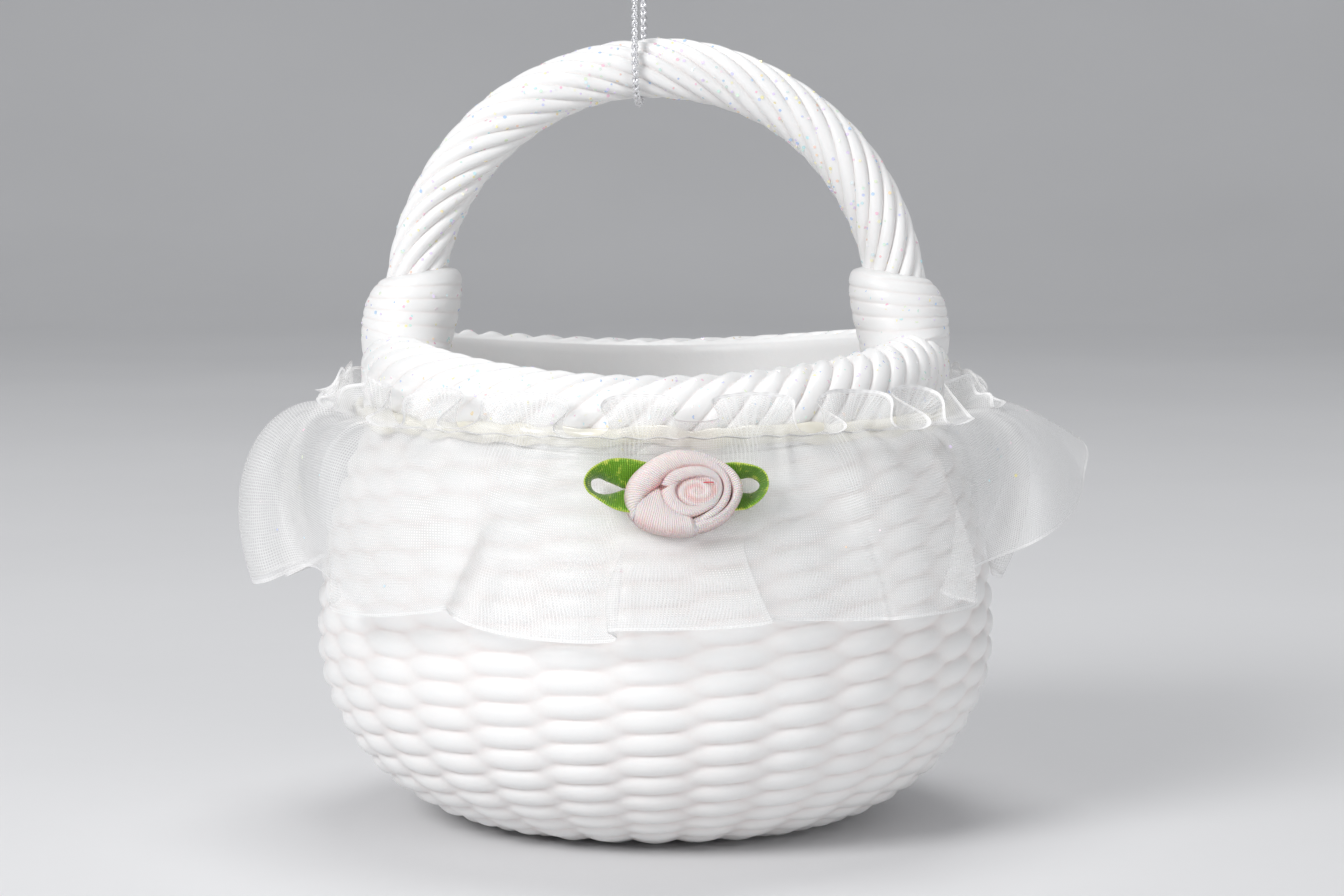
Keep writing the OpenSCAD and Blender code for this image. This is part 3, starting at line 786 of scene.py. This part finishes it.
def fold_band(skin, inner, outer, crest, at, drops, ends=(1.0, 1.0)):
    """A folded ribbon between two lines, closed underneath. Its crest lies at the share `at` of
    the way across, and it falls by drops[0] towards the inner line and drops[1] outwards."""
    count = 110
    inner, outer = spline(inner, count=count), spline(outer, count=count)
    share = np.array([0, 0, 0.02, 0.06, 0.13, 0.22, 0.33, 0.45, 0.57, 0.69, 0.8, 0.89, 0.95,
                      0.985, 1, 1])
    t = np.linspace(0, 1, count)

    def spread(value):
        value = np.atleast_1d(np.asarray(value, float))
        return np.interp(t, np.linspace(0, 1, len(value)), value)[:, None]

    at, fall_in, fall_out = spread(at), spread(drops[0]), spread(drops[1])
    inside = np.clip(1 - share[None] / at, 0, 1)
    outside = np.clip((share[None] - at) / (1 - at), 0, 1)
    n = spread(crest) - fall_in * (1 - np.sqrt(1 - inside ** 3.0 * 0.98)) \
        - fall_out * (1 - np.sqrt(1 - outside ** 2.6 * 0.98))
    tuck = ends[0] * (1 - smoothstep(t, 0, 0.1)) + ends[1] * (1 - smoothstep(1 - t, 0, 0.1))
    n = np.maximum(n - tuck[:, None], ROSE_BASE)
    n[:, 0] = n[:, -1] = ROSE_BASE
    across = inner[:, None] + (outer - inner)[:, None] * share[None, :, None]
    run = np.r_[0, np.cumsum(np.linalg.norm(np.diff((inner + outer) / 2, axis=0), axis=1))]
    width = np.linalg.norm(outer - inner, axis=1)
    uv = np.stack([np.broadcast_to(run[:, None], n.shape), width[:, None] * share[None]], -1) * MM
    # Painted shade: the pink deepens down each slope of the fold, most on the inner side where it
    # falls furthest.
    mark = np.clip(inside ** 3 * fall_in * 1.1 + outside ** 5 * 0.5, 0, 1)
    local = np.concatenate([across, n[..., None]], -1)
    skin.grid(on_rose(local), uv, mark, wrap_cols=True, caps=True)


# Painted shade: the ramp runs from the ribbon's pale pink to the deep pink painted in its folds and
# grooves; ribs and specks lighten towards the first stop as painted glints.
pink = satin("pink_satin", [(0.0, (1.0, 0.86, 0.845)), (0.35, (0.99, 0.7, 0.68)),
                            (1.0, (0.96, 0.36, 0.37))], 0.00026, 0.12, 0.25, 0.1)
skin = Skin()
# Rounded bed under the folds, painted a deep pink as shade where it shows between them.
a = (np.arange(60) * TAU / 60)[None]
rho = np.linspace(0.03, 1.0, 14)[:, None]
bed = np.stack([0.2 + 6.1 * rho * np.cos(a), -0.1 + 4.2 * rho * np.sin(a),
                1.6 + 2.6 * np.sqrt(1.0001 - rho ** 2) + 0 * a], -1)
bed = np.concatenate([bed, bed[-1:] * np.array([1, 1, 0]) + np.array([0, 0, ROSE_BASE])])
skin.grid(on_rose(bed), np.stack([bed[..., 0], bed[..., 1]], -1) * MM, np.full(bed.shape[:2], 0.9),
          wrap_cols=True, caps=True)
# Outermost turn, on the right.
fold_band(skin,
          [(-1.2, 3.6), (0, 3.75), (1.23, 3.65), (2.5, 3.3), (3.9, 2.5), (4.95, 1.38), (5.5, 0),
           (5.25, -1.27), (4.2, -2.5), (2.8, -3.3), (1.2, -3.8), (-0.2, -3.9)],
          [(-1.8, 4.55), (-0.6, 4.85), (0.9, 4.95), (2.7, 4.5), (4.45, 3.6), (6.05, 2.25),
           (6.85, 0.5), (6.45, -1.27), (5.1, -2.95), (3.3, -4.05), (1.2, -4.6), (-0.2, -4.65)],
          [4.3, 4.5, 4.7, 4.6, 4.3], 0.35, (0.5, 1.5), (0.8, 0.8))
# Lobe at the lower left.
fold_band(skin,
          [(-5.3, -1.0), (-4.6, -0.5), (-3.7, 0.1), (-2.85, 0.15), (-2.3, -1.1), (-1.5, -2.0),
           (-0.4, -2.75), (1.1, -3.3)],
          [(-6.0, -2.3), (-5.55, -3.35), (-4.4, -4.1), (-3.0, -4.55), (-1.6, -4.8), (-0.2, -4.9),
           (0.9, -4.85), (1.6, -4.6)],
          [4.5, 4.8, 4.9, 4.9], [0.45, 0.5, 0.5], (0.55, 1.9), (0.5, 0.9))
# Main petal, from the lower left over the top and down the right.
fold_band(skin,
          [(-5.55, -2.3), (-4.8, -1.05), (-3.9, -0.2), (-3.0, 0.45), (-2.2, 1.4), (-0.8, 2.2),
           (1.05, 2.6), (2.65, 2.35), (3.85, 1.6), (4.42, 0.5), (4.3, -0.74), (3.5, -1.95),
           (2.4, -2.75), (1.0, -3.25)],
          [(-5.95, -3.0), (-6.75, -1.45), (-6.8, 0.35), (-5.85, 2.1), (-3.7, 3.8), (-1.25, 4.78),
           (0.9, 4.6), (2.8, 3.75), (4.3, 2.6), (5.15, 1.38), (5.4, 0), (4.95, -1.6),
           (3.8, -2.85), (2.3, -3.75), (1.0, -4.1)],
          [4.6, 5.3, 5.5, 5.4, 5.3, 5.1, 4.8], [0.3, 0.4, 0.5, 0.5, 0.4, 0.4],
          ([0.8, 1.0, 0.9, 0.7, 0.4, 0.4], [2.0, 2.2, 2.2, 1.4, 0.6, 0.8]), (0.9, 0.6))
# Ring round the middle: it starts under the main petal and winds once round.
fold_band(skin,
          [(-0.9, 0.2), (-0.45, 0.8), (0.5, 1.25), (2.1, 1.4), (3.3, 1.05), (3.8, 0.15),
           (3.6, -0.75), (2.8, -1.6), (1.5, -2.1), (0.2, -2.05), (-0.75, -1.35), (-1.1, -0.4),
           (-0.95, 0.35), (-0.4, 0.85)],
          [(-2.9, 0.65), (-2.3, 1.5), (-1.0, 2.3), (1.05, 2.7), (2.7, 2.45), (3.9, 1.6),
           (4.35, 0.35), (4.2, -0.8), (3.4, -2.05), (2.0, -2.85), (0.35, -3.25), (-1.3, -2.75),
           (-2.35, -1.65), (-2.75, -0.2)],
          [5.3, 5.5, 5.4, 5.35, 5.3, 5.4, 5.5, 5.6], [0.45, 0.5, 0.5, 0.5, 0.4],
          ([0.5, 0.5, 0.3, 0.1, 0.15, 0.4, 0.6], [0.6, 0.7, 0.5, 0.6, 0.9, 1.1]), (0.5, 0.2))
# Flattened middle of the roll, with the crumpled end of the ribbon in it. Its pink is painted darker
# in the spiral's dips, as shade.
a = (np.arange(96) * TAU / 96)[None]
rho = np.linspace(0.03, 1.0, 26)[:, None]
spiral = 0.13 * np.cos(2 * TAU * rho - a + 0.6) * smoothstep(rho, 0.05, 0.3)
crease = 0.07 * np.sin(3 * a + 5 * rho) * rho
dome = 5.18 - 0.35 * rho ** 2 + spiral + crease
core = np.stack([1.45 + 2.75 * rho * np.cos(a), -0.35 + 1.95 * rho * np.sin(a), dome], -1)
under = core[-1:] * np.array([1, 1, 0]) + np.array([0, 0, ROSE_BASE])
core_uv = np.stack([core[..., 0], core[..., 1]], -1) * MM
skin.grid(on_rose(np.concatenate([core, under])), np.concatenate([core_uv, core_uv[-1:]]),
          np.concatenate([np.clip(0.3 - spiral * 2.2, 0, 1) + 0 * a, np.ones((1, 96))]),
          wrap_cols=True, caps=True)
skin.piece("ribbon_rose", pink, ["rose_ribbon"])

# Leaf loops: each is a ruled strip between its front and back edge.
# Painted glints: the ramp runs from a yellow-green painted glint to the ribbon's mid and dark greens.
green = satin("green_satin", [(0.0, (0.68, 0.8, 0.12)), (0.25, (0.2, 0.46, 0.025)),
                              (1.0, (0.09, 0.28, 0.012))], 0.00028, 0.12, 0.0, 0.7)
LEAF_T = 0.15
LEAVES = [
    ([(-4.2, 3.6, 3.1), (-6.4, 4.05, 3.2), (-8.6, 3.95, 3.3), (-10.6, 2.9, 3.35), (-11.5, 1.5, 3.35),
      (-11.2, 0.3, 3.3), (-10.3, -0.5, 3.25), (-8.1, -1.9, 3.2), (-6.2, -2.3, 3.0), (-4.6, -2.2, 2.8)],
     [(-4.6, 1.5, 1.0), (-6.6, 1.1, 0.75), (-7.5, 1.45, 0.7), (-8.7, 2.0, 0.65), (-9.6, 2.4, 0.65),
      (-10.5, 2.2, 0.6), (-10.6, 1.4, 0.6), (-10.2, 0.75, 0.6), (-9.3, 0.4, 0.65),
      (-8.3, 0.43, 0.7), (-7.4, 0.7, 0.75), (-6.6, 0.9, 0.8), (-4.8, 0.8, 1.0)]),
    ([(4.4, 3.4, 3.0), (6.2, 3.5, 3.1), (8.2, 3.1, 3.2), (9.4, 2.4, 3.25), (9.85, 1.24, 3.25),
      (9.6, 0.0, 3.2), (8.6, -1.2, 3.15), (7.2, -2.0, 3.0), (5.2, -2.15, 2.8)],
     [(4.6, 1.4, 1.0), (6.6, 2.05, 0.75), (7.9, 2.3, 0.65), (8.8, 1.95, 0.6), (9.15, 1.35, 0.6),
      (8.75, 0.68, 0.6), (7.8, 0.34, 0.65), (6.6, 0.5, 0.75), (4.8, 0.5, 1.0)]),
]
skin = Skin()
for front, back in LEAVES:
    front, back = spline(front, count=70), spline(back, count=70)
    share = np.linspace(0, 1, 9)
    face = front[:, None] + (back - front)[:, None] * share[None, :, None]
    normal = unit(np.cross(np.gradient(face, axis=0), np.gradient(face, axis=1)))
    face = face + normal * (0.12 * np.sin(math.pi * share))[None, :, None]
    run = np.r_[0, np.cumsum(np.linalg.norm(np.diff(front, axis=0), axis=1))]
    uv = np.stack(np.broadcast_arrays(run[:, None], share * 3.0), -1) * MM
    # Painted glints: the satin is lighter towards both edges of each strip and darker in its middle.
    edge = np.broadcast_to(0.75 - 0.5 * np.abs(share * 2 - 1) ** 6, face.shape[:2])
    both = np.concatenate([face + normal * LEAF_T / 2, (face - normal * LEAF_T / 2)[:, ::-1]], 1)
    skin.grid(on_rose(both), np.concatenate([uv, uv[:, ::-1]], 1), np.concatenate([edge, edge], 1),
              wrap_cols=True, caps=True)
bar = spline([(-5, -0.4, 0.7), (0, -0.2, 0.68), (5, -0.2, 0.7)], count=20)
share = np.linspace(-1.4, 1.4, 7)
bar_face = bar[:, None] + np.array([0, 1, 0]) * share[None, :, None]
both = np.concatenate([bar_face + [0, 0, 0.07], (bar_face - [0, 0, 0.07])[:, ::-1]], 1)
skin.grid(on_rose(both), wrap_cols=True, caps=True)
skin.piece("leaf_loops", green, ["leaf_ribbon"])

# Stitch in the coil, and the dot of glue behind the rose.
skin = Skin()
skin.tube(on_rose(spline([(2.0, 0.6, 5.0), (2.2, 0.62, 5.17), (2.7, 0.64, 5.24), (3.1, 0.65, 5.2),
                          (3.3, 0.65, 5.08)], count=16)), 0.075, 8, (0, 0, 1))
skin.piece("rose_thread", thread("red_thread", (0.86, 0.14, 0.17), (0.5, 0.05, 0.07)),
           ["rose_stitch"])
skin = Skin()
a = np.linspace(0.02, math.pi / 2, 12)[:, None]
b = (np.arange(36) * TAU / 36)[None]
blob_r = 2.6 * np.sin(a) * (1 + 0.08 * np.sin(3 * b) + 0.05 * np.sin(5 * b + 1))
blob = np.stack([blob_r * np.cos(b), blob_r * np.sin(b),
                 np.broadcast_to(0.6 * np.cos(a), blob_r.shape)], -1)
under = blob[::-1] * np.array([1, 1, 0]) + np.array([0, 0, -0.4])
skin.grid(on_rose(np.concatenate([blob, under[[0]]])), wrap_cols=True, caps=True)
skin.piece("rose_glue", glue, ["rose_pad"])

# ---- Glitter ----
CORD_CLEAR, FLAKE_T = 1.0, 0.05
FLAKES_HANDLE, FLAKES_RIM, FLAKES_BINDING, FLAKES_CLOTH = 770, 875, 100, 40
skin = Skin()


def scatter(grid, count, rows=None, flip=1.0):
    """Thin six-sided flakes at random places on a grid of points, but none close to the cord."""
    low, high = rows or (0, grid.shape[0] - 1)
    cols = grid.shape[1]
    ring = np.array([[math.cos(k * TAU / 6), math.sin(k * TAU / 6)] for k in range(6)])
    for _ in range(count):
        i, j = random.uniform(low, high - 1), random.uniform(0, cols)
        i0, j0 = int(i), int(j) % cols
        a, b, c = grid[i0, j0], grid[i0, (j0 + 1) % cols], grid[i0 + 1, j0]
        place = a + (b - a) * (j % 1) + (c - a) * (i % 1)
        if abs(place[0] - KNOT[0]) < CORD_CLEAR and place[2] > ARCH_Z:
            continue
        normal = unit(np.cross(b - a, c - a)) * flip
        normal = unit(normal + random.normal(0, 0.16, 3))
        side = unit(np.cross(normal, random.normal(0, 1, 3)))
        other = np.cross(normal, side)
        size = random.uniform(0.13, 0.25)
        hexagon = ring[:, :1] * side * size + ring[:, 1:] * other * size
        flake = np.stack([place + hexagon + normal * h for h in (0.0, FLAKE_T)])
        skin.grid(flake, mark=np.full((2, 6), random.uniform(0, 1)), wrap_cols=True, caps=True)


leg_rows = int(10 / HANDLE_STEP)
scatter(handle, FLAKES_HANDLE, (leg_rows, len(line) - leg_rows), -1.0)
scatter(rim, FLAKES_RIM, (4, 48), -1.0)
for points in bindings:
    scatter(points, FLAKES_BINDING, (20, 100), -1.0)
scatter(cloth, FLAKES_CLOTH, (14, 40))
skin.piece("glitter_flakes", glitter_foil(), smooth=False)

# ---- Floor, backdrop and lights ----
paper = Nodes("paper", Specular_IOR_Level=0.2)
paper.link(paper.ramp(paper.noise(6.0, 5.0), [(0.3, (0.76, 0.76, 0.77)), (0.7, (0.8, 0.8, 0.81))]),
           "Base Color")
paper.link(paper.map(paper.noise(300.0), 0.3, 0.7, 0.8, 0.95), "Roughness")
x = np.linspace(-2500, 2500, 9)
a = np.linspace(0, math.pi / 2, 24)
sweep = np.vstack([[[-1600, 0]], np.column_stack([900 + 500 * np.sin(a), 500 * (1 - np.cos(a))]),
                   [[1400, 2400]]])
sheet = np.stack([np.broadcast_to(x, (len(sweep), len(x))),
                  np.broadcast_to(sweep[:, :1], (len(sweep), len(x))),
                  np.broadcast_to(sweep[:, 1:] - 0.02, (len(sweep), len(x)))], -1)
mesh = bpy.data.meshes.new("studio_sweep")
index = np.arange(sheet.shape[0] * sheet.shape[1]).reshape(sheet.shape[:2])
mesh.from_pydata((sheet.reshape(-1, 3) * MM).tolist(), [], np.stack(
    [index[:-1, :-1], index[:-1, 1:], index[1:, 1:], index[1:, :-1]], -1).reshape(-1, 4).tolist())
mesh.polygons.foreach_set("use_smooth", [True] * len(mesh.polygons))
mesh.materials.append(paper.material)
stage = bpy.data.objects.new("studio_sweep", mesh)
bpy.context.scene.collection.objects.link(stage)


LIGHT_AIM = Vector((0, 0, 0.05))


def soft_light(name, place, size, power):
    light = bpy.data.lights.new(name, "AREA")
    light.shape, light.size, light.energy = "DISK", size, power
    obj = bpy.data.objects.new(name, light)
    obj.location = place
    obj.rotation_euler = (LIGHT_AIM - Vector(place)).to_track_quat("-Z", "Y").to_euler()
    bpy.context.scene.collection.objects.link(obj)


soft_light("key", (-0.5, -0.62, 0.5), 0.4, 5.0)
soft_light("fill", (0.6, -0.65, 0.25), 0.6, 1.35)
soft_light("top", (0.05, 0.2, 0.9), 0.4, 2.6)
world = bpy.data.worlds.new("studio")
world.use_nodes = True
world.node_tree.nodes["Background"].inputs[0].default_value = (0.95, 0.97, 1.0, 1)
world.node_tree.nodes["Background"].inputs[1].default_value = 0.32
bpy.context.scene.world = world
bpy.context.scene.view_settings.view_transform = "Standard"

bpy.context.view_layer.update()
